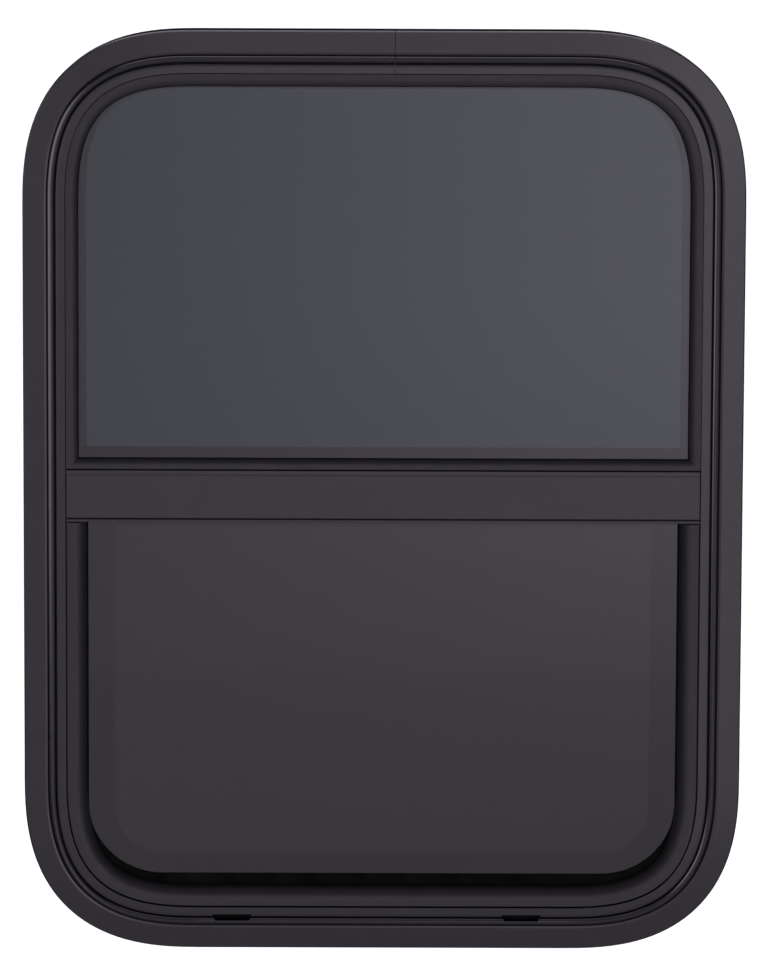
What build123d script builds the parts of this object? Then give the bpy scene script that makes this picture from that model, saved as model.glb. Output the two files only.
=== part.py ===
from build123d import *
import os

# Caravan window with rounded corners: a fixed pane over a sash that slides up behind it.
# +X is right and +Z is up as seen from outside, and +Y runs through the wall to the inside.
# The origin is at the middle of the window, on the plane where the flange lies on the wall.
# A section is drawn with the inset from the frame's outer edge across and the depth, +Y, up.

# Wall and its cut-out
cutout_width = 500
cutout_height = 655
cutout_radius = 85
wall_thickness = 32
leg_clearance = 2

# Face of the frame extrusion
flange_overlap = 17.5
lip_thickness = 2.6
lip_chamfer = 1.1
flange_root = 4.4
sealant_margin = 3.5
sealant_depth = 1.2
groove_width = 1.2
groove_depth = 1.7
bead_width = 5.3
bead_rise = 2.0
band_width = 6.2
band_rise = 1.1
band_chamfer = 0.4

# Webs and tracks behind the face
metal = 2.0
stop_depth = 5
web_reach = 43
sash_track = 14
screen_track = 7
boss_width = 8
boss_slot = 2.6
ring_lift = 4

# Butt joint of the bent extrusion, and the drain slots
seam_gap = 0.4
seam_offset = 7.5
joint_key_length = 60
weep_length = 29.5
weep_height = 4.6
weep_taper = 2.1
weep_spacing = 217
weep_offset = -3.7

# Fits
fit_gap = 0.2
end_gap = 0.8

# Fixed upper pane
glass_thickness = 4
tape_thickness = 1.5
tape_margin = 0.5
glass_edge_gap = 1.6
glazing_bead_reach = 9.7
glazing_bead_rise = 4.6
glazing_bead_flat = 3.7
glazing_bead_lip = 0.5
sill_gap = 1.0
sill_bead_height = 8.2
sill_bead_flat = 2.6
setting_block_length = 50
setting_block_height = 2.4
setting_block_spacing = 230

# Cross bar
mullion_height = 39
mullion_drop = 1.7
mullion_setback = 1.1
lip_line_width = 0.6
lip_line_depth = 0.5
top_lip = 3.4
drip_groove_width = 1.3
drip_groove_depth = 1.4
bottom_lip = 2.6
upstand_show = 7.7
pile_width = 5
pile_carrier_height = 10
pile_carrier_depth = 4

# Nosing round the lower opening
nosing_setback = 1.5
nosing_gap = 0.8
nosing_cover = 3.3
nosing_radius = 8.5
nosing_depth = 14.5
nosing_wall = 1.6
jamb_seal_width = 2.9

# Sliding sash
sash_glass_inset = 30
sash_overlap = 32
edge_trim_wall = 1.3
edge_trim_margin = 0.8
edge_trim_lift = 7.1
channel_setback = 0.5
channel_play = 0.3
channel_lip = 3
channel_relief = 1.2
channel_joint_rise = 12
rail_height = 18
rail_wall = 2.4
rail_margin = 3
pull_length = 130
pull_height = 13
pull_depth = 6
pull_wall = 1.8
pull_rise = 0.5
latch_length = 34
latch_height = 11
latch_depth = 4.5
latch_margin = 19
latch_button_length = 14
latch_button_rise = 2
latch_bolt_radius = 1.8
latch_chamfer = 1.2

# Insect screen
screen_engagement = 3
screen_bar = 27
screen_lap = 20
mesh_thickness = 0.4
mesh_gap = 0.05
spline_width = 2.6
spline_depth = 1.6
spline_margin = 3.5
tab_length = 24
tab_height = 9
tab_depth = 3.5
tab_spacing = 240

# Inner clamp ring
ring_inset = 1.5
ring_inner_inset = 45.5
ring_thickness = 2
ring_lip = 2
ring_chamfer = 0.8
ring_hole_radius = 2.1
ring_side_holes = 4
ring_side_pitch = 140
ring_end_pitch = 220

# Outline of the flange and the corners that every section runs round
overall_width = cutout_width + 2 * flange_overlap
overall_height = cutout_height + 2 * flange_overlap
corner_radius = cutout_radius + flange_overlap
half_width = overall_width / 2
half_height = overall_height / 2
corner_start = half_height - corner_radius

# Insets of the frame's features
bead_start = flange_overlap + groove_width
bead_end = bead_start + bead_width
band_start = bead_end + groove_width
rebate = band_start + band_width
leg_outer = flange_overlap + leg_clearance
leg_inner = leg_outer + metal
boss_middle = leg_inner + boss_width / 2

# Depths of the frame's features
band_front = -(flange_root + band_rise)
groove_floor = -(flange_root - groove_depth)
stop_back = stop_depth + metal
sash_back = stop_back + sash_track
screen_front = sash_back + metal
screen_back = screen_front + screen_track
boss_front = screen_back + metal
frame_depth = wall_thickness + ring_lift

# Places of the fixed pane and the cross bar
glass_back = stop_depth - tape_thickness
glass_front = glass_back - glass_thickness
glass_inset = rebate + glass_edge_gap
bead_outer = rebate + fit_gap
bead_inner = bead_outer + glazing_bead_reach
mullion_top = mullion_height / 2 - mullion_drop
mullion_bottom = mullion_top - mullion_height
mullion_front = band_front + mullion_setback
mullion_back = stop_depth
glass_bottom = mullion_top + setting_block_height
sill_bead_bottom = mullion_top + sill_gap
sill_bead_top = sill_bead_bottom + sill_bead_height
upstand_top = sill_bead_top + upstand_show

# Places of the sash and the screen
sash_front = stop_back + (sash_track - glass_thickness) / 2
sash_glass_back = sash_front + glass_thickness
sash_top = mullion_bottom + sash_overlap
nosing_outer = rebate + nosing_gap
nosing_inner = web_reach + nosing_cover
nosing_front = band_front + nosing_setback
nosing_back = nosing_front + nosing_depth
screen_thickness = screen_track - 2 * fit_gap
screen_face = screen_front + fit_gap
screen_rear = screen_face + screen_thickness
screen_top = mullion_bottom + screen_lap
edge_trim_sight = nosing_inner + edge_trim_margin
sight_bottom = -half_height + edge_trim_sight + edge_trim_lift
channel_inset = web_reach - channel_setback
rail_inset = web_reach + rail_margin
latch_end = half_width - rail_inset - latch_margin
screen_inset = web_reach - screen_engagement
spline_far = screen_inset + screen_bar - spline_margin
spline_near = spline_far - spline_width
mesh_seat = screen_rear - mesh_thickness
channel_joint = channel_joint_rise - corner_start


def loop(inset):
    """The window's outline, moved in from the frame's outer edge."""
    return RectangleRounded(overall_width - 2 * inset, overall_height - 2 * inset, corner_radius - inset)


def above(level):
    """Everything over one height, for trimming an outline."""
    return Pos(0, level + half_height) * Rectangle(overall_width, overall_height)


def below(level):
    """Everything under one height, for trimming an outline."""
    return Pos(0, level - half_height) * Rectangle(overall_width, overall_height)


def block(left, right, bottom, top):
    """A rectangle seen from outside."""
    return Pos((left + right) / 2, (bottom + top) / 2) * Rectangle(right - left, top - bottom)


def plate(outline, front, back):
    """A flat piece with an outline seen from outside, between two depths."""
    return Plane.XZ.offset(-back) * extrude(outline, back - front)


def span(near, far, front, back):
    """A rectangle of a section, between two insets and two depths."""
    return Pos((near + far) / 2, (front + back) / 2) * Rectangle(far - near, back - front)


def swept(section, *corners):
    """A section run clockwise round corners on the frame's outer edge."""
    path = Plane.XZ * FilletPolyline(*corners, radius=corner_radius)
    heading = path % 0
    start = Plane(origin=path @ 0, x_dir=Vector(0, 1, 0).cross(heading), z_dir=heading)
    return sweep(start * section, path)


def swept_over(section, end):
    """A section run up the left side, over the top and down the right, ending at one height."""
    corners = [(-half_width, end), (-half_width, half_height), (half_width, half_height), (half_width, end)]
    return swept(section, *corners)


def swept_under(section, end):
    """A section run down the right side, under the bottom and up the left, ending at one height."""
    corners = [(half_width, end), (half_width, -half_height), (-half_width, -half_height), (-half_width, end)]
    return swept(section, *corners)


def straight(section, side, bottom, top):
    """A section run straight up one jamb: side is 1 on the right and -1 on the left."""
    start = Plane(origin=(-half_width, 0, bottom), x_dir=(1, 0, 0), z_dir=(0, 0, 1))
    left = start * extrude(section, top - bottom)
    return left if side < 0 else mirror(left, Plane.YZ)


def across(section, half_length):
    """A section drawn with depth across and height up, run from side to side."""
    return Plane.YZ.offset(-half_length) * extrude(section, 2 * half_length)


def frame_section():
    """The extrusion: dished flange, bead between two grooves, flat band, wall leg, webs and screw boss."""
    flange = Polygon(
        (0, 0), (0, -lip_thickness), (flange_overlap, -flange_root), (flange_overlap, 0), align=None
    )
    lip = flange.vertices().sort_by_distance((0, -lip_thickness))[0]
    section = chamfer(lip, lip_chamfer)
    section -= span(sealant_margin, flange_overlap - sealant_margin, -sealant_depth, 0)
    section += span(flange_overlap, leg_inner, groove_floor, 0)
    section += span(leg_inner, rebate, groove_floor, groove_floor + metal)
    bead_middle = (bead_start + bead_end) / 2
    crown = ThreePointArc(
        (bead_start, -flange_root), (bead_middle, -flange_root - bead_rise), (bead_end, -flange_root)
    )
    root = Polyline((bead_end, -flange_root), (bead_end, groove_floor), (bead_start, groove_floor),
                    (bead_start, -flange_root))
    section += make_face(crown + root)
    band = span(band_start, rebate, band_front, groove_floor)
    section += chamfer(band.vertices().group_by(Axis.Y)[0], band_chamfer)
    section += span(leg_outer, leg_inner, 0, frame_depth)
    section += span(rebate - metal, rebate, groove_floor, stop_depth)
    section += span(leg_inner, web_reach, stop_depth, stop_back)
    section += span(leg_inner, web_reach, sash_back, screen_front)
    section += span(leg_inner, web_reach, screen_back, boss_front)
    section += span(leg_inner, leg_inner + boss_width, boss_front, frame_depth)
    section -= span(boss_middle - boss_slot / 2, boss_middle + boss_slot / 2, boss_front, frame_depth)
    return section


def outer_frame():
    """The frame: one extrusion bent round the window, its ends butted at the top, with two weep slots."""
    begin = seam_offset + seam_gap / 2
    end = seam_offset - seam_gap / 2
    ring = swept(
        frame_section(), (begin, half_height), (half_width, half_height), (half_width, -half_height),
        (-half_width, -half_height), (-half_width, half_height), (end, half_height)
    )
    slot_top = weep_length / 2
    slot_bottom = slot_top - weep_taper
    slot = Polygon(
        (-slot_bottom, 0), (slot_bottom, 0), (slot_top, weep_height), (-slot_top, weep_height), align=None
    )
    level = -half_height + bead_end - weep_height / 2
    slots = [Pos(weep_offset + side * weep_spacing / 2, level) * slot for side in (-1, 1)]
    return ring - plate(slots[0] + slots[1], -flange_root - bead_rise, groove_floor + metal)


def frame_joint_key():
    """A key in the frame's hollow chamber that carries the butt joint."""
    bottom = half_height - rebate + metal + fit_gap
    top = half_height - leg_inner - fit_gap
    outline = block(seam_offset - joint_key_length / 2, seam_offset + joint_key_length / 2, bottom, top)
    return plate(outline, groove_floor + metal + fit_gap, stop_depth - fit_gap)


def mullion():
    """The cross bar: a hollow bar between the jambs, with an upstand behind the pane and a pile carrier."""
    bar = Pos((mullion_front + mullion_back) / 2, (mullion_top + mullion_bottom) / 2) * Rectangle(
        mullion_back - mullion_front, mullion_height
    )
    hollow = offset(bar, -metal)
    lip_line = Pos(mullion_front, mullion_top - top_lip) * Rectangle(2 * lip_line_depth, lip_line_width)
    drip_groove = Pos(mullion_front, mullion_bottom + bottom_lip) * Rectangle(
        2 * drip_groove_depth, drip_groove_width
    )
    front = across(bar - hollow - lip_line - drip_groove, half_width - rebate - end_gap)
    upstand_bottom = mullion_top - 2 * metal
    upstand = Pos((mullion_back + stop_back) / 2, (upstand_bottom + upstand_top) / 2) * Rectangle(
        stop_back - mullion_back, upstand_top - upstand_bottom
    )
    carrier_back = mullion_back + pile_carrier_depth
    carrier = Pos((mullion_back + carrier_back) / 2, mullion_bottom + pile_carrier_height / 2) * Rectangle(
        pile_carrier_depth, pile_carrier_height
    )
    pile_slot = Pos(carrier_back, mullion_bottom + pile_carrier_height / 2) * Rectangle(
        pile_carrier_depth, pile_width + 2 * fit_gap
    )
    return front + across(upstand + (carrier - pile_slot), half_width - web_reach - end_gap)


def mullion_pile_seal():
    """A pile strip in the cross bar's rear slot, brushing on the sash."""
    pile_front = mullion_back + pile_carrier_depth / 2
    strip = Pos((pile_front + sash_front) / 2, mullion_bottom + pile_carrier_height / 2) * Rectangle(
        sash_front - pile_front, pile_width
    )
    return across(strip, half_width - web_reach - end_gap)


def upper_glass():
    """The fixed pane, with round top corners and a straight edge over the cross bar."""
    return plate(loop(glass_inset) & above(glass_bottom), glass_front, glass_back)


def upper_glazing_tape():
    """The tape that beds the fixed pane on the stop web and on the cross bar's upstand."""
    outline = (loop(glass_inset + tape_margin) & above(glass_bottom)) - (loop(web_reach) & above(upstand_top))
    return plate(outline, glass_back, stop_depth)


def glazing_bead_profile(reach, flat):
    """The glazing bead: a flat face from its heel on the rebate, then a round slope to its lip."""
    heel_front = glass_front - glazing_bead_rise
    slope = TangentArc((flat, heel_front), (reach, glass_front - glazing_bead_lip), tangent=(1, 0))
    base = Polyline(
        (reach, glass_front - glazing_bead_lip), (reach, glass_front), (0, glass_front), (0, heel_front),
        (flat, heel_front)
    )
    return make_face(slope + base)


def mitre_side(side):
    """The outline beside the fixed pane that the jamb's bead keeps, outside its mitre with the sill bead."""
    heel = half_width - bead_outer
    lip = half_width - bead_inner
    rise = (sill_bead_top - sill_bead_bottom) / (heel - lip)
    return Polygon(
        (side * heel, sill_bead_bottom), (side * lip, sill_bead_top), (side * lip, half_height),
        (side * half_width, half_height), (side * half_width, sill_bead_bottom - rise * bead_outer),
        align=None
    )


def upper_glazing_bead():
    """The bead round the fixed pane's sides and top."""
    section = Pos(bead_outer, 0) * glazing_bead_profile(glazing_bead_reach, glazing_bead_flat)
    bead = swept_over(section, sill_bead_bottom)
    over_sill = above(sill_bead_top)
    keep = over_sill + mitre_side(-1) + mitre_side(1)
    return bead & plate(keep, band_front, stop_depth)


def upper_sill_bead():
    """The bead along the fixed pane's bottom edge, mitred to the jambs' beads."""
    run = Plane(origin=(half_width, 0, sill_bead_bottom), x_dir=(0, 0, 1), z_dir=(-1, 0, 0))
    bead = run * extrude(glazing_bead_profile(sill_bead_height, sill_bead_flat), overall_width, dir=(0, 0, 1))
    heel = half_width - bead_outer
    lip = half_width - bead_inner
    outline = Polygon((-heel, sill_bead_bottom), (heel, sill_bead_bottom), (lip, sill_bead_top),
                      (-lip, sill_bead_top), align=None)
    return bead & plate(outline, band_front, stop_depth)


def setting_block(side):
    """A rubber block between the cross bar and the fixed pane's bottom edge."""
    middle = side * setting_block_spacing / 2
    left = middle - setting_block_length / 2
    right = middle + setting_block_length / 2
    return plate(block(left, right, mullion_top, glass_bottom), glass_front, glass_back)


def nosing_face(thickness):
    """One face of the nosing's section: a flat front from the heel, a bend, and a wall into the depth."""
    front = nosing_front + thickness
    inner = nosing_inner - thickness
    return FilletPolyline(
        (nosing_outer, front), (inner, front), (inner, nosing_back), radius=nosing_radius - thickness
    )


def lower_reveal_trim():
    """The rounded nosing that covers the empty rebate round the lower opening."""
    heel = Line((nosing_outer, nosing_front), (nosing_outer, nosing_front + nosing_wall))
    tail = Line((nosing_inner, nosing_back), (nosing_inner - nosing_wall, nosing_back))
    section = make_face(nosing_face(0) + tail + nosing_face(nosing_wall) + heel)
    return swept_under(section, mullion_bottom - end_gap)


def jamb_seal(side):
    """A rubber strip on the nosing's back edge that wipes the sash beside one jamb."""
    near = nosing_inner - nosing_wall
    section = span(near, near + jamb_seal_width, nosing_back, sash_front)
    return straight(section, side, -corner_start, mullion_bottom - end_gap)


def sash_glass():
    """The sliding pane, with round bottom corners."""
    return plate(loop(sash_glass_inset) & below(sash_top), sash_front, sash_glass_back)


def sash_bottom_trim():
    """The rubber edging on the sash's bottom edge, which fades out up the round corners."""
    sight = Pos(0, edge_trim_lift) * loop(edge_trim_sight)
    outline = (loop(sash_glass_inset - edge_trim_wall) & below(-corner_start)) - sight
    trim = plate(outline, sash_front - edge_trim_wall, sash_glass_back + edge_trim_wall)
    return trim - plate(loop(sash_glass_inset), sash_front, sash_glass_back)


def sash_top_rail():
    """The channel on the sash's top edge, behind the cross bar."""
    bottom = sash_top + rail_wall - rail_height
    middle = (sash_front + sash_glass_back) / 2
    outer = Pos(middle, bottom + rail_height / 2) * Rectangle(glass_thickness + 2 * rail_wall, rail_height)
    slot = Pos(middle, sash_top - rail_height / 2) * Rectangle(glass_thickness, rail_height)
    return across(outer - slot, half_width - rail_inset)


def sash_pull():
    """The finger pull on the sash's inner face."""
    bottom = sight_bottom + pull_rise
    base = Pos(sash_glass_back + pull_wall / 2, bottom + pull_height / 2) * Rectangle(pull_wall, pull_height)
    lip = Pos(sash_glass_back + pull_depth / 2, bottom + pull_height - pull_wall / 2) * Rectangle(
        pull_depth, pull_wall
    )
    return across(base + lip, pull_length / 2)


def sash_latch(side):
    """A slide latch at one end of the sash's top rail, its bolt pointing at the jamb."""
    middle = side * (latch_end - latch_length / 2)
    top = sash_top + rail_wall
    level = top - latch_height / 2
    rail_back = sash_glass_back + rail_wall
    latch_back = rail_back + latch_depth
    outline = block(middle - latch_length / 2, middle + latch_length / 2, top - latch_height, top)
    body = plate(outline, rail_back, latch_back)
    body = chamfer(body.faces().sort_by(Axis.Y)[-1].edges(), latch_chamfer)
    button = block(
        middle - latch_button_length / 2, middle + latch_button_length / 2,
        top - latch_height + 2 * latch_chamfer, top - 2 * latch_chamfer
    )
    body += plate(button, latch_back, latch_back + latch_button_rise)
    start = Plane(
        origin=(side * latch_end, rail_back + latch_depth / 2, level), x_dir=(0, 1, 0), z_dir=(side, 0, 0)
    )
    return body + start * extrude(Circle(latch_bolt_radius), half_width - web_reach - end_gap - latch_end)


def channel_section(play):
    """A run channel in the sash track: a seat for the pane's edge, a relieved slot and two wiping lips."""
    seat = sash_glass_inset - edge_trim_wall - channel_play
    slot_front = sash_front - play
    slot_back = sash_glass_back + play
    section = span(leg_inner + fit_gap, channel_inset, stop_back + fit_gap, sash_back - fit_gap)
    section -= span(seat, channel_inset, slot_front, slot_back)
    lip_start = channel_inset - channel_lip
    return section - span(seat, lip_start, slot_front - channel_relief, slot_back + channel_relief)


def run_channel(side):
    """The channel that one edge of the sash runs in."""
    return straight(channel_section(channel_play), side, channel_joint, corner_start)


def run_channel_sill():
    """The channel under the sash, round the bottom corners."""
    return swept_under(channel_section(edge_trim_wall + channel_play), channel_joint)


def screen_opening(inset):
    """The screen's outline, moved in from the frame's outer edge and down from the screen's top."""
    return loop(inset) & below(screen_top - (inset - screen_inset))


def screen_frame():
    """The insect screen's frame, with a groove for the spline and a rabbet for the mesh inside it."""
    opening = screen_opening(screen_inset + screen_bar)
    groove = screen_opening(spline_near) - screen_opening(spline_far)
    frame = plate(screen_opening(screen_inset) - opening, screen_face, screen_rear)
    frame -= plate(groove, screen_rear - spline_depth, screen_rear)
    return frame - plate(screen_opening(spline_far) - opening, mesh_seat, screen_rear)


def screen_spline():
    """The cord that holds the mesh in the screen frame's groove."""
    ring = screen_opening(spline_near + mesh_gap) - screen_opening(spline_far - mesh_gap)
    return plate(ring, screen_rear - spline_depth, screen_rear + fit_gap)


def screen_mesh():
    """The insect mesh, as a thin sheet that lies in the screen frame's rabbet."""
    return plate(screen_opening(spline_far + mesh_gap), mesh_seat, screen_rear)


def screen_tab(side):
    """A finger tab on the screen frame's bottom bar."""
    middle = side * tab_spacing / 2
    bottom = -half_height + ring_inner_inset + end_gap
    outline = block(middle - tab_length / 2, middle + tab_length / 2, bottom, bottom + tab_height)
    return plate(outline, screen_rear, screen_rear + tab_depth)


def clamp_ring():
    """The inner ring, screwed into the frame's boss, whose lip bears on the wall's inner face."""
    back = frame_depth + ring_thickness
    wall_lip = loop(ring_inset) - loop(ring_inset + ring_lip)
    reveal_lip = loop(ring_inner_inset - ring_lip) - loop(ring_inner_inset)
    ring = plate(loop(ring_inset) - loop(ring_inner_inset), frame_depth, back)
    ring += plate(wall_lip, wall_thickness, frame_depth)
    ring += plate(reveal_lip, boss_front + fit_gap, frame_depth)
    ring = chamfer(ring.faces().sort_by(Axis.Y)[-1].edges(), ring_chamfer)
    across_holes = half_width - boss_middle
    up_holes = half_height - boss_middle
    hole = Circle(ring_hole_radius)
    first = -(ring_side_holes - 1) / 2
    levels = [(first + step) * ring_side_pitch for step in range(ring_side_holes)]
    places = [Pos(side * across_holes, level) for side in (-1, 1) for level in levels]
    places += [Pos(side * ring_end_pitch / 2, end * up_holes) for side in (-1, 1) for end in (-1, 1)]
    for place in places:
        ring -= plate(place * hole, frame_depth, back)
    return ring


def nodes():
    """Every piece of the window, by its name."""
    pieces = {
        "outer_frame": outer_frame(),
        "frame_joint_key": frame_joint_key(),
        "mullion": mullion(),
        "mullion_pile_seal": mullion_pile_seal(),
        "upper_glass": upper_glass(),
        "upper_glazing_tape": upper_glazing_tape(),
        "upper_glazing_bead": upper_glazing_bead(),
        "upper_sill_bead": upper_sill_bead(),
        "lower_reveal_trim": lower_reveal_trim(),
        "sash_glass": sash_glass(),
        "sash_bottom_trim": sash_bottom_trim(),
        "sash_top_rail": sash_top_rail(),
        "sash_pull": sash_pull(),
        "run_channel_sill": run_channel_sill(),
        "screen_frame": screen_frame(),
        "screen_spline": screen_spline(),
        "screen_mesh": screen_mesh(),
        "clamp_ring": clamp_ring(),
    }
    for name, side in (("left", -1), ("right", 1)):
        pieces[f"setting_block_{name}"] = setting_block(side)
        pieces[f"jamb_seal_{name}"] = jamb_seal(side)
        pieces[f"sash_latch_{name}"] = sash_latch(side)
        pieces[f"run_channel_{name}"] = run_channel(side)
        pieces[f"screen_tab_{name}"] = screen_tab(side)
    return pieces


os.makedirs("parts", exist_ok=True)
for name, piece in nodes().items():
    export_step(piece, f"parts/{name}.step")
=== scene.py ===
import math

import bmesh
import bpy
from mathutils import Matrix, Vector


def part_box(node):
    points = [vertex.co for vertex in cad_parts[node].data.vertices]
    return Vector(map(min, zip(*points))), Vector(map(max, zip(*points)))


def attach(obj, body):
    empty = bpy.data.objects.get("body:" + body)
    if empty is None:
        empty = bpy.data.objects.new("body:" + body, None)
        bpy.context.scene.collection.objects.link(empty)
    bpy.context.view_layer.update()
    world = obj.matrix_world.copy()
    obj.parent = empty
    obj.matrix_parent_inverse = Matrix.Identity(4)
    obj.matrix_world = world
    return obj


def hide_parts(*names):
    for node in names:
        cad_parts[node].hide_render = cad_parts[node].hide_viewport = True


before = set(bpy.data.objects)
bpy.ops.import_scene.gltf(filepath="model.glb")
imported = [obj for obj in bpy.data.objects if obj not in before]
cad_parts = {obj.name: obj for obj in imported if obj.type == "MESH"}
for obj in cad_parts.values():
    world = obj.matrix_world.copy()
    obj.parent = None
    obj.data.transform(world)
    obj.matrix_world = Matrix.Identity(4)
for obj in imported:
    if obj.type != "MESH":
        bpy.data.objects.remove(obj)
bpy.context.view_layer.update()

# A caravan window with rounded corners, seen from outside: black frame, tinted panes, dark recess.
# +X is right and +Z is up as seen from outside, and +Y runs through the wall to the inside.
# Sizes are in millimetres, as the solids have them, and meshes are written in metres.
MM = 0.001
RIGHT = Vector((1, 0, 0))
DEPTH = Vector((0, 1, 0))
UP = Vector((0, 0, 1))


def limits(node):
    """A solid's lowest and highest corners at rest, in millimetres."""
    return [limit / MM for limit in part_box(node)]


# Outline of the frame, whose bends run gently into the straight sides
half_width, _, half_height = limits("outer_frame")[1]
bend_reach = 130
bend_power = 2.55
bend_steps = 32

# Face of the frame extrusion, as insets from its outer edge and depths
flange_overlap = 17.5
lip_thickness = 2.6
lip_chamfer = 0.9
flange_root = 4.4
sealant_margin = 3.5
sealant_depth = 1.2
outer_groove = 0.7
inner_groove = 1.1
groove_depth = 2.4
bead_width = 5.5
bead_rise = 2.0
band_width = 6.6
band_rise = 1.1
band_lean = 0.3
leg_outer = 19.5
metal = 2.0
stop_depth = 5
web_reach = 43
sash_track = 14
screen_track = 7
boss_width = 8
boss_slot = 2.6
frame_depth = 36

# Seam at the top, with its sealant, and weep slots at the bottom
seam_gap = 0.4
seam_offset = 7.5
sealant_sink = 0.7
sealant_film = 0.5
weep_length = 29.5
weep_height = 4.6
weep_taper = 2.1
weep_spacing = 217
weep_offset = -3.7
weep_depth = 7.1

# Cross bar, beads and nosing
mullion_height = 39
end_gap = 0.8
fit_gap = 0.2
lip_line_width = 0.6
lip_line_depth = 0.8
top_lip = 3.4
drip_groove_width = 1.3
drip_groove_depth = 6.0
bottom_lip = 2.6
pile_carrier_height = 10
pile_carrier_depth = 4
pile_slot_width = 5.4
bead_reach = 9.7
bead_flat = 3.7
sill_bead_flat = 2.6
bead_lip = 0.5
# Depth of each glazing bead's lip that takes the darker rubber: partly the wedge gasket, partly painted shade
# for the dark line at the glass
gasket_shade_band = 1.3
nosing_cover = 3.3
nosing_wall = 1.6
nosing_radius = 8.5

# Clamp ring, whose faces that look inside are finished like the frame
ring_inner_inset = 45.5
ring_thickness = 2
ring_lip = 2
ring_edge = 0.8
ring_inside_facing = 0.3
recess_depth = 0.5
recess_gap = 0.15

# Screws, with a crowned head and a cross recess that stands at its own angle in each
screw_inset = 25.5
screw_side_count = 4
screw_side_pitch = 140
screw_end_pitch = 220
screw_radius = 3.6
screw_rings = 12
screw_spokes = 48
crown_drop = 0.3
crown_power = 4
cross_reach = 2.23
cross_half_width = 0.55
cross_depth = 1.3
cross_turns = (7, 3)

# Grip ribs on the latches' buttons and the screen's tabs
latch_body = 34
button_margin = 2.4
rib_width = 1.1
rib_rise = 0.5
rib_pitch = 2.4
latch_ribs = 5
tab_ribs = 3

# Insect mesh, whose corners follow the screen's
screen_corner = 102.5
wire_pitch = 1.41
wire_radius = 0.13
wire_sides = 6
wire_weave = 0.6

# Edges that are only softened, and how finely arcs are divided
hair_edge = 0.15
soft_edge = 0.35
round_edge = 0.5
fine_edge = 0.4
ease_width = 1.6
ease_drop = 0.3
ease_radius = 1.5
edge_steps = 4
curve_steps = 8
bevel_steps = 2

# How sections and meshes are cleaned and shaded, with angles in degrees but for the first
no_turn = 1e-6
merge_gap = 0.005
flat_angle = 1
sharp_angle = 38
face_weight = 80

# Noise in the materials: scale per metre and detail, and the span that its values mostly fill
tone_noise = (60, 4)
gloss_noise = (240, 4)
grain_detail = 3
haze_noise = (90, 5)
haze = 0.02
wave_noise = (14, 1)
wave_stretch = (1, 1, 2.5)
wave_depth = 0.02
glass_index = 1.52
noise_span = (0.3, 0.7)

# Camera: a long lens, a little above the window and almost square to it
picture_width = 768
picture_height = 978
view_azimuth = -0.3
view_elevation = 8.9
view_distance = 4.93
picture_scale = 0.7440
view_roll = 0.241
window_pixel = (383.2, 494.0)
sensor_width = 36

# Floor, in metres
floor_drop = 0.75
floor_reach = 30
floor_tone = 0.85
floor_roughness = 0.9
floor_gloss = 0.1
lift_to_white = 0.7

# Lamps: name, place and size in metres, and power. Only the coated metal mirrors the panels.
white = (1, 1, 1)
studio_tint = (0.93, 0.86, 1.0)
panels = [
    ("left_panel", (-1.41, -0.75, 0.3), (1.5, 1.3), 20),
    ("right_panel", (1.41, -0.75, 0.05), (1.5, 1.6), 2),
    ("top_panel", (0, -0.92, 1.31), (1.6, 1.7), 3.5),
    ("edge_panel", (0, 0.1, 1.6), (1.6, 0.5), 9),
]
fill_lamp = ("front_fill", (0, -2.8, -0.15), (2.4, 1.0), 50)

# What the metal and glass mirror: products of soft steps along right, back and up, which run from -1 to 1.
# Each step has its axis, its start and end, and the levels there.
soft_front = [
    ("up", -0.8, -0.5, 0.65, 1), ("up", -0.45, -0.15, 0.7, 0.93), ("up", 0.05, 0.45, 1, 0.2),
    ("right", -0.85, -0.3, 0.15, 1), ("right", 0.4, 0.85, 1, 0.25), ("back", -0.1, 0.1, 1, 0),
]
bright_right = [
    ("right", -0.085, 0.085, 0, 1.1), ("right", 0.08, 0.25, 1, 1.2), ("right", 0.38, 0.58, 1, 0),
    ("up", -0.21, -0.12, 0, 1), ("up", 0.08, 0.35, 1, 0), ("back", -0.6, -0.3, 1, 0),
]
white_wall = [("back", 0, 0.25, 0, 1), ("up", 0.2, 0.5, 0, 1)]
room_inside = [
    ("back", 0.15, 0.5, 0, 1), ("right", -0.4, 0.4, 0.8, 1.2),
    ("up", -0.6, 0.2, 0.6, 1.1), ("up", 0.2, 0.5, 1, 0),
]

# Insets and depths that follow from these
bead_start = flange_overlap + outer_groove
bead_end = bead_start + bead_width
band_start = bead_end + inner_groove
rebate = band_start + band_width
leg_inner = leg_outer + metal
band_front = -(flange_root + band_rise)
groove_floor = -(flange_root - groove_depth)
stop_back = stop_depth + metal
sash_back = stop_back + sash_track
screen_front = sash_back + metal
screen_back = screen_front + screen_track
boss_front = screen_back + metal
mullion_low, mullion_high = limits("mullion")


def evenly(count, pitch):
    """Places at equal steps, centred on nought."""
    return [(step - (count - 1) / 2) * pitch for step in range(count)]


def all_round(count, turn=0.0):
    """Directions at equal angles in the window's plane."""
    angles = [turn + 2 * math.pi * step / count for step in range(count)]
    return [Vector((math.cos(angle), 0, math.sin(angle))) for angle in angles]


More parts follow.
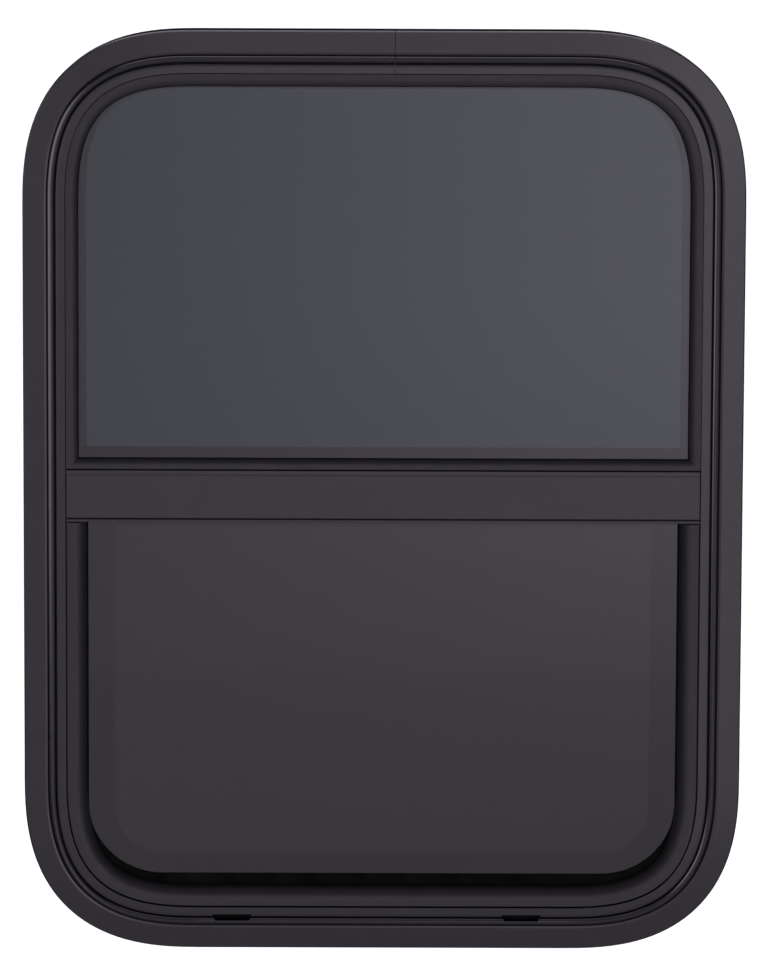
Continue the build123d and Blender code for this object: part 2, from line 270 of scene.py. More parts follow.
def rounded(corners, steps=edge_steps):
    """A closed section: corners of inset, depth and radius, with each radius turned into an arc."""
    outline = []
    for index, (inset, depth, radius) in enumerate(corners):
        here = Vector((inset, depth))
        before = (here - Vector(corners[index - 1][:2])).normalized()
        after = (Vector(corners[(index + 1) % len(corners)][:2]) - here).normalized()
        turn = math.atan2(before.cross(after), before.dot(after))
        if radius == 0 or abs(turn) < no_turn:
            outline.append(here)
            continue
        side = math.copysign(1, turn)
        start = here - before * radius * math.tan(abs(turn) / 2)
        centre = start + Vector((-before.y, before.x)) * radius * side
        arm = start - centre
        for step in range(steps + 1):
            angle = turn * step / steps
            outline.append(centre + Vector((
                arm.x * math.cos(angle) - arm.y * math.sin(angle),
                arm.x * math.sin(angle) + arm.y * math.cos(angle),
            )))
    return outline


def signed_power(value, power):
    """A power of a number's size, with the number's own sign."""
    return math.copysign(abs(value) ** power, value)


def bend(right, up):
    """The stations round one bend of the frame's edge, a superellipse, clockwise as seen from outside."""
    centre = Vector((right * (half_width - bend_reach), 0, up * (half_height - bend_reach)))
    first = {(1, 1): 90, (1, -1): 0, (-1, -1): -90, (-1, 1): 180}[(right, up)]
    along = 2 / bend_power
    stations = []
    for step in range(bend_steps + 1):
        angle = math.radians(first - 90 * step / bend_steps)
        cosine = math.cos(angle)
        sine = math.sin(angle)
        point = Vector((signed_power(cosine, along), 0, signed_power(sine, along)))
        outwards = Vector((signed_power(cosine, 2 - along), 0, signed_power(sine, 2 - along)))
        stations.append((centre + point * bend_reach, -outwards.normalized()))
    return stations


def into_scene(name, data):
    """A new object in the scene."""
    made = bpy.data.objects.new(name, data)
    bpy.context.scene.collection.objects.link(made)
    return made


def piece(name, vertices, faces):
    """A mesh object from points in millimetres, with its faces turned outwards."""
    mesh = bpy.data.meshes.new(name)
    mesh.from_pydata([point * MM for point in vertices], [], faces)
    work = bmesh.new()
    work.from_mesh(mesh)
    bmesh.ops.recalc_face_normals(work, faces=work.faces)
    work.to_mesh(mesh)
    work.free()
    return into_scene(name, mesh)


def sweep(name, *runs, rise=DEPTH):
    """One piece from runs, each a section and the stations that it passes: a point, and the way that the
    section's first number goes. Its second number goes along rise.
    A run that ends at its first station closes on itself, and any other gets flat ends."""
    vertices = []
    faces = []
    for section, stations in runs:
        base = len(vertices)
        count = len(section)
        closed = stations[0] == stations[-1]
        rings = stations[:-1] if closed else stations
        for point, inwards in rings:
            vertices.extend(point + inwards * spot.x + rise * spot.y for spot in section)
        for ring in range(len(stations) - 1):
            near = base + ring * count
            far = base + (ring + 1) % len(rings) * count
            for side in range(count):
                following = (side + 1) % count
                faces.append((near + side, near + following, far + following, far + side))
        if not closed:
            last = base + (len(rings) - 1) * count
            faces.append(tuple(range(base, base + count)))
            faces.append(tuple(range(last, last + count)))
    return piece(name, vertices, faces)


def smooth(made):
    """Smooth shading that keeps flat faces flat and sharp edges sharp."""
    made.data.shade_smooth()
    made.data.set_sharp_from_angle(angle=math.radians(sharp_angle))
    weights = made.modifiers.new("flat_faces", "WEIGHTED_NORMAL")
    weights.keep_sharp = True
    weights.weight = face_weight
    return made


def carve(made, cutter):
    """Cuts one mesh out of another, for good."""
    cut = made.modifiers.new("cut", "BOOLEAN")
    cut.object = cutter
    cut.solver = "EXACT"
    depsgraph = bpy.context.evaluated_depsgraph_get()
    carved = bpy.data.meshes.new_from_object(made.evaluated_get(depsgraph))
    made.modifiers.remove(cut)
    made.data = carved
    bpy.data.objects.remove(cutter)


def softened(node, edge):
    """A copy of a solid's mesh with its sharp edges rounded."""
    work = bmesh.new()
    work.from_mesh(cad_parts[node].data)
    bmesh.ops.remove_doubles(work, verts=work.verts, dist=merge_gap * MM)
    bmesh.ops.dissolve_limit(work, angle_limit=math.radians(flat_angle), verts=work.verts, edges=work.edges)
    least = math.radians(sharp_angle)
    sharp = [line for line in work.edges if line.is_manifold and line.calc_face_angle() > least]
    bmesh.ops.bevel(
        work, geom=sharp, offset=edge * MM, offset_type="OFFSET", segments=bevel_steps, profile=0.5,
        affect="EDGES", clamp_overlap=True,
    )
    mesh = bpy.data.meshes.new(node + "_soft")
    work.to_mesh(mesh)
    work.free()
    return smooth(into_scene(node + "_soft", mesh))


def dress(made, material, slot, *nodes):
    """Gives a piece its material, and lets it ride in place of the solids that it stands for. The slot is not
    used.
    """
    made.data.materials.clear()
    made.data.materials.append(material)
    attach(made, "root")
    if nodes:
        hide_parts(*nodes)
    return made


def node_material(name):
    """A new node material, with its tree and its shader."""
    material = bpy.data.materials.new(name)
    material.use_nodes = True
    tree = material.node_tree
    return material, tree, tree.nodes["Principled BSDF"]


def place_noise(tree, scale, detail, stretch=(1, 1, 1)):
    """Noise over the object's own coordinates, with its scale per metre."""
    coordinates = tree.nodes.new("ShaderNodeTexCoord")
    mapping = tree.nodes.new("ShaderNodeMapping")
    mapping.inputs["Scale"].default_value = stretch
    noise = tree.nodes.new("ShaderNodeTexNoise")
    noise.inputs["Scale"].default_value = scale
    noise.inputs["Detail"].default_value = detail
    tree.links.new(coordinates.outputs["Object"], mapping.inputs["Vector"])
    tree.links.new(mapping.outputs["Vector"], noise.inputs["Vector"])
    return noise.outputs["Fac"]


def map_range(tree, value, start, end, low, high):
    """A node that maps a value from one range to another."""
    mapped = tree.nodes.new("ShaderNodeMapRange")
    mapped.inputs["From Min"].default_value = start
    mapped.inputs["From Max"].default_value = end
    mapped.inputs["To Min"].default_value = low
    mapped.inputs["To Max"].default_value = high
    tree.links.new(value, mapped.inputs["Value"])
    return mapped


def spread(tree, value, low, high):
    """Maps a noise value to a range of numbers."""
    return map_range(tree, value, *noise_span, low, high).outputs["Result"]


def tones(tree, value, dark, light):
    """Maps a noise value to a colour between two."""
    ramp = tree.nodes.new("ShaderNodeValToRGB")
    for stop, position, colour in zip(ramp.color_ramp.elements, noise_span, (dark, light)):
        stop.position = position
        stop.color = (*colour, 1)
    tree.links.new(value, ramp.inputs["Fac"])
    return ramp.outputs["Color"]


def relief(tree, shader, heights, depth):
    """Bump from a height value, with its depth in millimetres."""
    bump = tree.nodes.new("ShaderNodeBump")
    bump.inputs["Strength"].default_value = 1
    bump.inputs["Distance"].default_value = depth * MM
    tree.links.new(heights, bump.inputs["Height"])
    tree.links.new(bump.outputs["Normal"], shader.inputs["Normal"])


def coated(name, dark, light, rough, grain, gloss=0.5, metallic=0):
    """An opaque finish between two tones. Rough is its range of roughness, from place to place,
    and grain the scale per metre and the depth in millimetres of its fine grain."""
    material, tree, shader = node_material(name)
    grain_scale, grain_depth = grain
    shader.inputs["Specular IOR Level"].default_value = gloss
    shader.inputs["Metallic"].default_value = metallic
    colour = tones(tree, place_noise(tree, *tone_noise), dark, light)
    tree.links.new(colour, shader.inputs["Base Color"])
    roughness = spread(tree, place_noise(tree, *gloss_noise), *rough)
    tree.links.new(roughness, shader.inputs["Roughness"])
    relief(tree, shader, place_noise(tree, grain_scale, grain_detail), grain_depth)
    return material


def tinted(name, tint):
    """Dark tinted safety glass, flat but for the faint wave of toughening."""
    material, tree, shader = node_material(name)
    shader.inputs["Base Color"].default_value = (*tint, 1)
    shader.inputs["Transmission Weight"].default_value = 1
    shader.inputs["IOR"].default_value = glass_index
    roughness = spread(tree, place_noise(tree, *haze_noise), 0, haze)
    tree.links.new(roughness, shader.inputs["Roughness"])
    relief(tree, shader, place_noise(tree, *wave_noise, wave_stretch), wave_depth)
    return material


powder_coat = coated(
    "satin_black_powder_coat", (0.0028, 0.0022, 0.0033), (0.0042, 0.0033, 0.0048),
    rough=(0.21, 0.26), grain=(1500, 0.008),
)
bead_finish = coated(
    "matt_black_bead", (0.0075, 0.0066, 0.0080), (0.0100, 0.0088, 0.0106),
    rough=(0.46, 0.54), grain=(1800, 0.012),
)
ring_finish = coated(
    "flat_black_ring", (0.009, 0.008, 0.009), (0.014, 0.013, 0.014),
    rough=(0.7, 0.85), grain=(1500, 0.02), gloss=0.12,
)
rubber = coated(
    "matt_black_rubber", (0.004, 0.004, 0.004), (0.007, 0.006, 0.007),
    rough=(0.7, 0.85), grain=(2600, 0.03), gloss=0.25,
)
# Near-black seals and trim round the sash: partly black flock, partly painted shade for the deep recess that
# they sit in
flock_and_painted_shade = coated(
    "black_flock_painted_shade", (0.002, 0.002, 0.002), (0.005, 0.005, 0.005),
    rough=(0.9, 1.0), grain=(5200, 0.12), gloss=0.04,
)
foam = coated(
    "black_foam_tape", (0.008, 0.008, 0.009), (0.014, 0.013, 0.015),
    rough=(0.8, 0.9), grain=(3600, 0.1), gloss=0.3,
)
fibre = coated(
    "woven_pile", (0.010, 0.010, 0.011), (0.022, 0.021, 0.023),
    rough=(0.85, 0.95), grain=(6000, 0.25), gloss=0.2,
)
nylon = coated(
    "moulded_black_nylon", (0.012, 0.012, 0.013), (0.018, 0.017, 0.019),
    rough=(0.45, 0.6), grain=(1200, 0.03),
)
mesh_fibre = coated(
    "charcoal_mesh", (0.016, 0.016, 0.017), (0.030, 0.029, 0.031),
    rough=(0.6, 0.75), grain=(4000, 0.01),
)
bare_metal = coated(
    "mill_aluminium", (0.24, 0.24, 0.25), (0.34, 0.34, 0.35),
    rough=(0.4, 0.55), grain=(900, 0.01), metallic=1,
)
screw_metal = coated(
    "black_zinc_screw", (0.09, 0.09, 0.10), (0.15, 0.14, 0.15),
    rough=(0.3, 0.42), grain=(2400, 0.008), metallic=0.6,
)
upper_tint = tinted("upper_tinted_glass", (0.0100, 0.0148, 0.0172))
sash_tint = tinted("sash_tinted_glass", (0.0082, 0.0078, 0.0084))


def frame_section():
    """The frame extrusion: dished flange, round bead between two grooves, flat band, webs, boss and leg."""
    boss_middle = leg_inner + boss_width / 2
    slot_near = boss_middle - boss_slot / 2
    slot_far = boss_middle + boss_slot / 2
    sealant_end = flange_overlap - sealant_margin
    ease_front = -flange_root + (flange_root - lip_thickness) * ease_width / flange_overlap
    bead_top = -flange_root - bead_rise
    bead_foot = bead_top + bead_width / 2 + hair_edge
    return rounded([
        (0, 0, hair_edge), (0, lip_chamfer - lip_thickness, hair_edge),
        (lip_chamfer, -lip_thickness, hair_edge), (flange_overlap - ease_width, ease_front, ease_radius),
        (flange_overlap, ease_front + ease_drop, hair_edge),
        (bead_start - outer_groove / 2, groove_floor, hair_edge), (bead_start, bead_foot, 0),
        (bead_start, bead_top, bead_width / 2), (bead_end, bead_top, bead_width / 2),
        (bead_end, bead_foot, 0), (bead_end + inner_groove / 2, groove_floor, hair_edge),
        (band_start, band_front + band_lean + ease_drop, hair_edge),
        (band_start + ease_width, band_front + band_lean, ease_radius),
        (rebate, band_front, soft_edge), (rebate, stop_depth, hair_edge),
        (web_reach, stop_depth, soft_edge), (web_reach, stop_back, soft_edge),
        (leg_inner, stop_back, hair_edge), (leg_inner, sash_back, hair_edge),
        (web_reach, sash_back, soft_edge), (web_reach, screen_front, soft_edge),
        (leg_inner, screen_front, hair_edge), (leg_inner, screen_back, hair_edge),
        (web_reach, screen_back, soft_edge), (web_reach, boss_front, soft_edge),
        (leg_inner + boss_width, boss_front, hair_edge), (leg_inner + boss_width, frame_depth, soft_edge),
        (slot_far, frame_depth, hair_edge), (slot_far, boss_front, hair_edge),
        (slot_near, boss_front, hair_edge), (slot_near, frame_depth, hair_edge),
        (leg_outer, frame_depth, soft_edge), (leg_outer, 0, hair_edge),
        (sealant_end, 0, hair_edge), (sealant_end, -sealant_depth, hair_edge),
        (sealant_margin, -sealant_depth, hair_edge), (sealant_margin, 0, hair_edge),
    ])


def through(front, back):
    """Two stations for a block whose outline is drawn in the window's plane, from one depth to another."""
    return [(DEPTH * depth, RIGHT) for depth in (front, back)]


def weep_cutter(side):
    """A tapered block where one weep slot goes through the bottom bead."""
    middle = weep_offset + side * weep_spacing / 2
    top = weep_length / 2
    bottom = top - weep_taper
    level = -half_height + bead_end - weep_height / 2
    corners = [(-bottom, 0), (bottom, 0), (top, weep_height), (-top, weep_height)]
    outline = [Vector((middle + across, level + up)) for across, up in corners]
    return sweep("weep_cutter", (outline, through(band_front - bead_rise, weep_depth)), rise=UP)


def seam_ends():
    """The two stations where the frame's ends meet at the top."""
    return [(Vector((seam_offset + side * seam_gap / 2, 0, half_height)), -UP) for side in (1, -1)]


def seam_sealant():
    """The film of sealant between the flange's butted ends, sunk a little below its face."""
    front = sealant_sink - lip_thickness
    section = rounded([
        (sealant_sink, front, 0), (leg_outer, front, 0),
        (leg_outer, front + sealant_film, 0), (sealant_sink, front + sealant_film, 0),
    ])
    return dress(sweep("seam_sealant", (section, seam_ends())), rubber, "black_rubber")


def outer_frame():
    """The bent frame extrusion, butted at the top, with its two weep slots."""
    begin, end = seam_ends()
    stations = [begin, *bend(1, 1), *bend(1, -1), *bend(-1, -1), *bend(-1, 1), end]
    made = sweep("frame_extrusion", (frame_section(), stations))
    for side in (-1, 1):
        carve(made, weep_cutter(side))
    return dress(smooth(made), powder_coat, "black_powder_coat", "outer_frame")


def across(half_length):
    """Two stations for a straight bar from side to side, whose section is drawn with height first."""
    return [(RIGHT * side * half_length, UP) for side in (-1, 1)]


def mullion():
    """The cross bar with its lip line and drip groove, an upstand behind the pane and a pile carrier."""
    top = mullion_low.z + mullion_height
    bottom = mullion_low.z
    front = mullion_low.y
    line_high = top - top_lip + lip_line_width / 2
    line_low = line_high - lip_line_width
    line_floor = front + lip_line_depth
    drip_low = bottom + bottom_lip - drip_groove_width / 2
    drip_high = drip_low + drip_groove_width
    drip_floor = front + drip_groove_depth
    bar = rounded([
        (bottom, stop_depth, hair_edge), (bottom, front, soft_edge),
        (drip_low, front, hair_edge), (drip_low, drip_floor, hair_edge),
        (drip_high, drip_floor, hair_edge), (drip_high, front, hair_edge),
        (line_low, front, hair_edge), (line_low, line_floor, 0),
        (line_high, line_floor, 0), (line_high, front, hair_edge),
        (top, front, soft_edge), (top, stop_depth, hair_edge),
    ])
    upstand_foot = top - 2 * metal
    upstand = rounded([
        (upstand_foot, stop_depth, 0), (mullion_high.z, stop_depth, hair_edge),
        (mullion_high.z, stop_back, hair_edge), (upstand_foot, stop_back, hair_edge),
    ])
    slot_low = bottom + (pile_carrier_height - pile_slot_width) / 2
    slot_high = slot_low + pile_slot_width
    carrier_top = bottom + pile_carrier_height
    carrier_back = stop_depth + pile_carrier_depth
    slot_floor = carrier_back - pile_carrier_depth / 2
    carrier = rounded([
        (bottom, stop_depth, 0), (carrier_top, stop_depth, 0),
        (carrier_top, carrier_back, hair_edge), (slot_high, carrier_back, hair_edge),
        (slot_high, slot_floor, 0), (slot_low, slot_floor, 0),
        (slot_low, carrier_back, hair_edge), (bottom, carrier_back, hair_edge),
    ])
    inner = half_width - web_reach - end_gap
    runs = ((bar, across(mullion_high.x)), (upstand, across(inner)), (carrier, across(inner)))
    return dress(smooth(sweep("cross_bar", *runs)), powder_coat, "black_powder_coat", "mullion")


def bead_section(near, reach, flat, front, glass):
    """A glazing bead's section from its heel: a flat face, and a round slope down to its lip on the glass."""
    run = reach - flat
    drop = glass - bead_lip - front
    radius = (run * run + drop * drop) / (2 * drop)
    turn = math.asin(run / radius)
    turning_point = near + flat + radius * math.tan(turn / 2)
    return rounded([
        (near, glass, 0), (near, front, soft_edge), (turning_point, front, radius),
        (near + reach, glass - bead_lip, 0), (near + reach, glass, 0),
    ], curve_steps)


def glazing_beads():
    """The bead round the fixed pane's sides and top, and the sill bead mitred to it."""
    glass = limits("upper_glass")[0].y
    front = limits("upper_glazing_bead")[0].y
    sill_low, sill_high = (limit.z for limit in limits("upper_sill_bead"))
    sill_height = sill_high - sill_low
    near = rebate + fit_gap
    rise = sill_height / bead_reach
    foot = sill_low - near * rise
    left = (Vector((-half_width, 0, foot)), Vector((1, 0, rise)))
    right = (Vector((half_width, 0, foot)), Vector((-1, 0, rise)))
    stations = [left, *bend(-1, 1), *bend(1, 1), right]
    bead = sweep("pane_bead", (bead_section(near, bead_reach, bead_flat, front, glass), stations))
    heel = half_width - near
    ends = [(Vector((side * heel, 0, sill_low)), Vector((-side / rise, 0, 1))) for side in (-1, 1)]
    sill = sweep("pane_sill_bead", (bead_section(0, sill_height, sill_bead_flat, front, glass), ends))
    # The bead's lip next to the glass takes the darker rubber: a wedge gasket, and painted shade for the dark
    # contact line there
    gasket_shade_front = (glass - bead_lip - gasket_shade_band) * MM
    for made, node in ((bead, "upper_glazing_bead"), (sill, "upper_sill_bead")):
        dress(smooth(made), bead_finish, "glazing_bead", node)
        made.data.materials.append(rubber)
        for face in made.data.polygons:
            face.material_index = int(gasket_shade_front < face.center.y < glass * MM)


def nosing():
    """The rounded nosing round the lower opening."""
    low, high = limits("lower_reveal_trim")
    outer = half_width - high.x
    inner = web_reach + nosing_cover
    section = rounded([
        (outer, low.y, soft_edge), (inner, low.y, nosing_radius), (inner, high.y, hair_edge),
        (inner - nosing_wall, high.y, hair_edge),
        (inner - nosing_wall, low.y + nosing_wall, nosing_radius - nosing_wall),
        (outer, low.y + nosing_wall, hair_edge),
    ], curve_steps)
    left = (Vector((-half_width, 0, high.z)), RIGHT)
    right = (Vector((half_width, 0, high.z)), -RIGHT)
    made = sweep("nosing", (section, [right, *bend(1, -1), *bend(-1, -1), left]))
    return dress(smooth(made), bead_finish, "black_powder_coat", "lower_reveal_trim")


def screw_places():
    """Where the clamp ring's screws go, as seen from outside."""
    places = []
    for side in (-1, 1):
        for level in evenly(screw_side_count, screw_side_pitch):
            places.append(Vector((side * (half_width - screw_inset), 0, level)))
        for end in (-1, 1):
            places.append(Vector((side * screw_end_pitch / 2, 0, end * (half_height - screw_inset))))
    return places


def screw_recesses(face):
    """Round blocks where the screw heads sink into the clamp ring's inner face."""
    radius = screw_radius + recess_gap
    stations = through(face - recess_depth, face + recess_depth)
    runs = []
    for place in screw_places():
        rim = [place + spoke * radius for spoke in all_round(screw_spokes)]
        runs.append(([Vector((point.x, point.z)) for point in rim], stations))
    return sweep("screw_recesses", *runs, rise=UP)


def clamp_ring():
    """The inner ring, with a lip each side: satin where it looks inside, and flat black towards the wall."""
    low, high = limits("clamp_ring")
    outer = half_width - high.x
    inner = ring_inner_inset
    floor = high.y - ring_thickness
    section = rounded([
        (outer, low.y, hair_edge), (outer, high.y, ring_edge),
        (inner, high.y, ring_edge), (inner, low.y + fit_gap, hair_edge),
        (inner - ring_lip, low.y + fit_gap, hair_edge), (inner - ring_lip, floor, hair_edge),
        (outer + ring_lip, floor, hair_edge), (outer + ring_lip, low.y, hair_edge),
    ])
    stations = [*bend(1, 1), *bend(1, -1), *bend(-1, -1), *bend(-1, 1)]
    made = sweep("inner_ring", (section, [*stations, stations[0]]))
    carve(made, screw_recesses(high.y))
    dress(smooth(made), ring_finish, "black_powder_coat", "clamp_ring")
    made.data.materials.append(powder_coat)
    for face in made.data.polygons:
        face.material_index = int(face.normal.y > ring_inside_facing)
    return made


def screws():
    """Countersunk screws with a cross recess, flush in the clamp ring's inner face."""
    face = limits("clamp_ring")[1].y
    vertices = []
    faces = []
    for place in screw_places():
        base = len(vertices)
        turn = math.radians((place.x * cross_turns[0] + place.z * cross_turns[1]) % 90)
        vertices.append(place + DEPTH * (face - cross_depth))
        for ring in range(1, screw_rings + 1):
            radius = screw_radius * ring / screw_rings
            for spoke, turned in zip(all_round(screw_spokes), all_round(screw_spokes, turn)):
                off_axis = min(abs(spoke.x), abs(spoke.z)) * radius
                in_cross = off_axis < cross_half_width and radius < cross_reach
                sink = cross_depth if in_cross else crown_drop * (radius / screw_radius) ** crown_power
                vertices.append(place + turned * radius + DEPTH * (face - sink))
        tip = len(vertices)
        vertices.append(place + DEPTH * (face - screw_radius))
        rim = base + 1 + (screw_rings - 1) * screw_spokes
        for spoke in range(screw_spokes):
            following = (spoke + 1) % screw_spokes
            faces.append((base, base + 1 + spoke, base + 1 + following))
            for near in range(base + 1, rim, screw_spokes):
                far = near + screw_spokes
                faces.append((near + spoke, far + spoke, far + following, near + following))
            faces.append((rim + spoke, tip, rim + following))
    return dress(smooth(piece("ring_screws", vertices, faces)), screw_metal, "black_powder_coat")


def grip_ribs():
    """Upright ribs on the latches' buttons, and level ones on the screen's tabs."""

    def rib(face):
        """A rib's section, rooted below the face that it stands on."""
        return rounded([
            (-rib_width / 2, face - rib_rise, 0), (-rib_width / 2, face + rib_rise, soft_edge),
            (rib_width / 2, face + rib_rise, soft_edge), (rib_width / 2, face - rib_rise, 0),
        ])

    for side, name in ((-1, "left"), (1, "right")):
        low, high = limits("sash_latch_" + name)
        middle = side * (min(abs(low.x), abs(high.x)) + latch_body / 2)
        margin = button_margin + soft_edge
        runs = []
        for place in evenly(latch_ribs, rib_pitch):
            ends = [Vector((middle + place, 0, level)) for level in (low.z + margin, high.z - margin)]
            runs.append((rib(high.y), [(end, RIGHT) for end in ends]))
        dress(smooth(sweep("latch_ribs_" + name, *runs)), nylon, "black_nylon")
        low, high = limits("screen_tab_" + name)
        middle = (low.z + high.z) / 2
        runs = []
        for level in evenly(tab_ribs, rib_pitch):
            ends = [Vector((place, 0, middle + level)) for place in (low.x + rib_width, high.x - rib_width)]
            runs.append((rib(high.y), [(end, UP) for end in ends]))
        dress(smooth(sweep("tab_ribs_" + name, *runs)), nylon, "black_nylon")


def insect_mesh():
    """Woven insect mesh as crossing wires in the screen's rabbet."""
    low, high = limits("screen_mesh")
    radius = screen_corner - (half_width - high.x)
    middle = (low.y + high.y) / 2

    def wire(start, end, over):
        """One wire's section, a little to one side of the mesh's middle, and its two stations."""
        section = [Vector((spoke.x, spoke.z + over)) * wire_radius for spoke in all_round(wire_sides)]
        beside = (end - start).normalized().cross(DEPTH)
        return section, [(start, beside), (end, beside)]

    def corner_drop(distance):
        """How far the mesh's round corner has drawn in, this far past its start."""
        inside = max(0.0, distance)
        return radius - math.sqrt(max(0.0, radius * radius - inside * inside))

    runs = []
    for step in range(1, int((high.x - low.x) / wire_pitch)):
        place = low.x + step * wire_pitch
        bottom = low.z + corner_drop(abs(place) - (high.x - radius))
        runs.append(wire(Vector((place, middle, bottom)), Vector((place, middle, high.z)), wire_weave))
    for step in range(1, int((high.z - low.z) / wire_pitch)):
        place = low.z + step * wire_pitch
        reach = high.x - corner_drop(low.z + radius - place)
        runs.append(wire(Vector((-reach, middle, place)), Vector((reach, middle, place)), -wire_weave))
    return dress(sweep("insect_wires", *runs), mesh_fibre, "insect_mesh", "screen_mesh")


coated_pieces = [outer_frame(), mullion()]
glazing_beads()
nosing()
clamp_ring()
screws()
seam_sealant()
grip_ribs()
insect_mesh()
for node, edge, material, slot in (
    ("upper_glass", fine_edge, upper_tint, "upper_tint"),
    ("sash_glass", fine_edge, sash_tint, "sash_tint"),
    # The sash's bottom trim and jamb seals take the near-black flock, which also paints the shade of the
    # recess round the sash
    ("sash_bottom_trim", fine_edge, flock_and_painted_shade, "black_rubber"),
    ("jamb_seal_left", round_edge, flock_and_painted_shade, "black_rubber"),
    ("jamb_seal_right", round_edge, flock_and_painted_shade, "black_rubber"),
    ("sash_top_rail", soft_edge, powder_coat, "black_powder_coat"),
    ("sash_pull", soft_edge, powder_coat, "black_powder_coat"),
    ("screen_frame", soft_edge, powder_coat, "black_powder_coat"),
    ("screen_spline", fine_edge, rubber, "black_rubber"),
    ("sash_latch_left", soft_edge, nylon, "black_nylon"),
    ("sash_latch_right", soft_edge, nylon, "black_nylon"),
    ("screen_tab_left", soft_edge, nylon, "black_nylon"),
    ("screen_tab_right", soft_edge, nylon, "black_nylon"),
):
    dress(softened(node, edge), material, slot, node)
for material, nodes in (
    (bare_metal, ["frame_joint_key"]),
    (rubber, ["setting_block_left", "setting_block_right"]),
    (foam, ["upper_glazing_tape"]),
    (fibre, ["mullion_pile_seal"]),
    # The run channels take it too, as painted shade in the sash's track
    (flock_and_painted_shade, ["run_channel_left", "run_channel_right", "run_channel_sill"]),
):
    for node in nodes:
        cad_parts[node].data.materials.clear()
        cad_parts[node].data.materials.append(material)


def make_camera():
    """The camera, aimed so that the window's middle falls on its pixel."""
    camera = into_scene("camera", bpy.data.cameras.new("camera"))
    pixel = picture_scale * MM
    camera.data.sensor_width = sensor_width
    camera.data.lens = sensor_width * view_distance / pixel / picture_height
    azimuth = math.radians(view_azimuth)
    elevation = math.radians(view_elevation)
    camera.location = view_distance * Vector((
        math.sin(azimuth) * math.cos(elevation), -math.cos(azimuth) * math.cos(elevation), math.sin(elevation)
    ))
    target = Vector((
        (picture_width / 2 - window_pixel[0]) * pixel, 0, (window_pixel[1] - picture_height / 2) * pixel
    ))
    camera.rotation_euler = (target - camera.location).to_track_quat("-Z", "Y").to_euler()
    camera.rotation_euler.rotate_axis("Z", math.radians(view_roll))
    bpy.context.scene.camera = camera


def make_lamp(name, place, size, power, colour, mirrors=()):
    """A soft lamp that faces the window. It lights what is matt, or else only shows in what mirrors it."""
    lamp = into_scene(name, bpy.data.lights.new(name, "AREA"))
    lamp.data.shape = "RECTANGLE"
    lamp.data.size, lamp.data.size_y = size
    lamp.data.energy = power
    lamp.data.color = colour
    lamp.visible_glossy = bool(mirrors)
    lamp.visible_diffuse = not mirrors
    if mirrors:
        receivers = bpy.data.collections.new(name)
        for made in mirrors:
            receivers.objects.link(made)
        lamp.light_linking.receiver_collection = receivers
    lamp.location = place
    lamp.rotation_euler = (-Vector(place)).to_track_quat("-Z", "Y").to_euler()


def seen_directly(tree):
    """One for rays from the camera or through glass, and nought for the rest."""
    light_path = tree.nodes.new("ShaderNodeLightPath")
    either = tree.nodes.new("ShaderNodeMath")
    either.operation = "MAXIMUM"
    tree.links.new(light_path.outputs["Is Camera Ray"], either.inputs[0])
    tree.links.new(light_path.outputs["Is Transmission Ray"], either.inputs[1])
    return either.outputs["Value"]


def make_floor():
    """A plain pale floor under the window, white to the eye but for its shadow."""
    mesh = bpy.data.meshes.new("floor")
    corners = [(-1, -1), (1, -1), (1, 1), (-1, 1)]
    places = [(right * floor_reach, back * floor_reach, -floor_drop) for right, back in corners]
    mesh.from_pydata(places, [], [(0, 1, 2, 3)])
    floor = into_scene("floor", mesh)
    floor.visible_glossy = False
    material, tree, shader = node_material("pale_floor")
    shader.inputs["Base Color"].default_value = (floor_tone, floor_tone, floor_tone, 1)
    shader.inputs["Roughness"].default_value = floor_roughness
    shader.inputs["Specular IOR Level"].default_value = floor_gloss
    shader.inputs["Emission Color"].default_value = (*white, 1)
    glow = tree.nodes.new("ShaderNodeMath")
    glow.operation = "MULTIPLY"
    glow.inputs[1].default_value = lift_to_white
    tree.links.new(seen_directly(tree), glow.inputs[0])
    tree.links.new(glow.outputs["Value"], shader.inputs["Emission Strength"])
    mesh.materials.append(material)


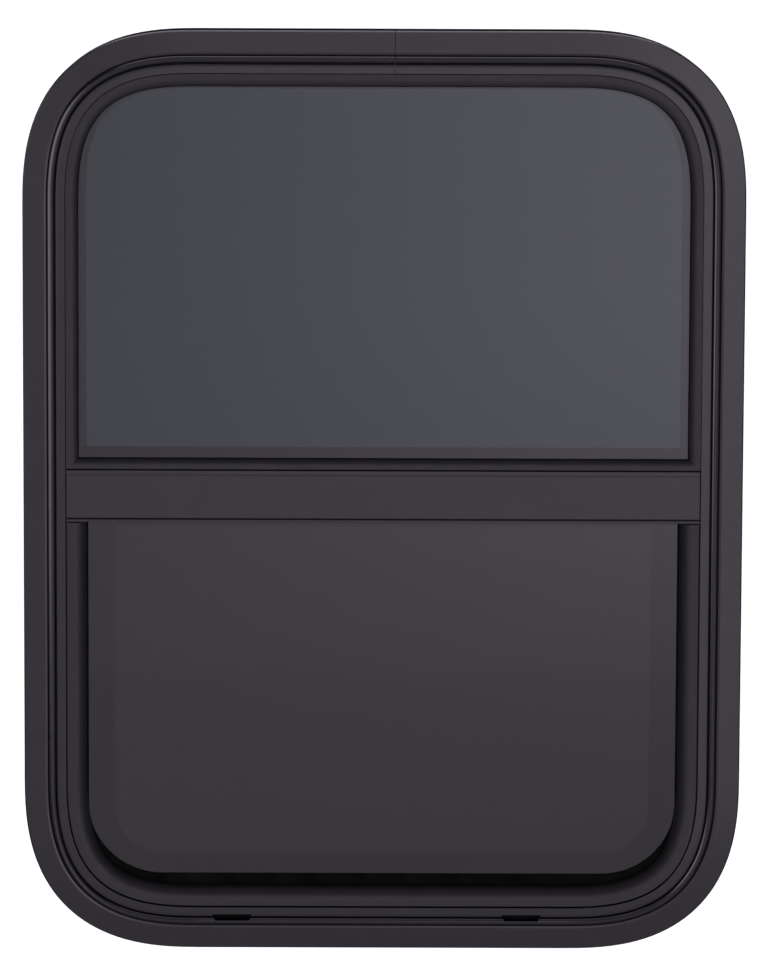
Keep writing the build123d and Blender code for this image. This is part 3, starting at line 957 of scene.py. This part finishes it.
def soft_step(tree, axis, start, end, low, high):
    """A soft step along one axis of the direction, from one level to another."""
    step = map_range(tree, axis, start, end, low, high)
    step.interpolation_type = "SMOOTHSTEP"
    return step.outputs["Result"]


def combine(tree, operation, values):
    """Several values added or multiplied, one after another."""
    total = values[0]
    for value in values[1:]:
        step = tree.nodes.new("ShaderNodeMath")
        step.operation = operation
        tree.links.new(total, step.inputs[0])
        tree.links.new(value, step.inputs[1])
        total = step.outputs["Value"]
    return total


def make_world():
    """A studio that is white to the eye. In reflections it has a soft front, brighter right of the camera,
    with dimmer sides, ceiling and ground, a white wall above and behind the window and a soft room inside."""
    world = bpy.data.worlds.new("studio")
    bpy.context.scene.world = world
    world.use_nodes = True
    tree = world.node_tree
    tree.nodes.clear()
    coordinates = tree.nodes.new("ShaderNodeTexCoord")
    split = tree.nodes.new("ShaderNodeSeparateXYZ")
    tree.links.new(coordinates.outputs["Generated"], split.inputs["Vector"])
    axes = dict(zip(("right", "back", "up"), split.outputs))
    levels = []
    for glow in (soft_front, bright_right, white_wall, room_inside):
        steps = [soft_step(tree, axes[axis], *step) for axis, *step in glow]
        levels.append(combine(tree, "MULTIPLY", steps))
    mirrored = tree.nodes.new("ShaderNodeBackground")
    direct = tree.nodes.new("ShaderNodeBackground")
    choice = tree.nodes.new("ShaderNodeMixShader")
    output = tree.nodes.new("ShaderNodeOutputWorld")
    mirrored.inputs["Color"].default_value = (*studio_tint, 1)
    direct.inputs["Color"].default_value = (*white, 1)
    tree.links.new(combine(tree, "ADD", levels), mirrored.inputs["Strength"])
    tree.links.new(seen_directly(tree), choice.inputs["Fac"])
    tree.links.new(mirrored.outputs["Background"], choice.inputs[1])
    tree.links.new(direct.outputs["Background"], choice.inputs[2])
    tree.links.new(choice.outputs["Shader"], output.inputs["Surface"])


make_camera()
make_floor()
make_world()
for panel in panels:
    make_lamp(*panel, studio_tint, coated_pieces)
make_lamp(*fill_lamp, white)
bpy.context.scene.view_settings.view_transform = "Standard"
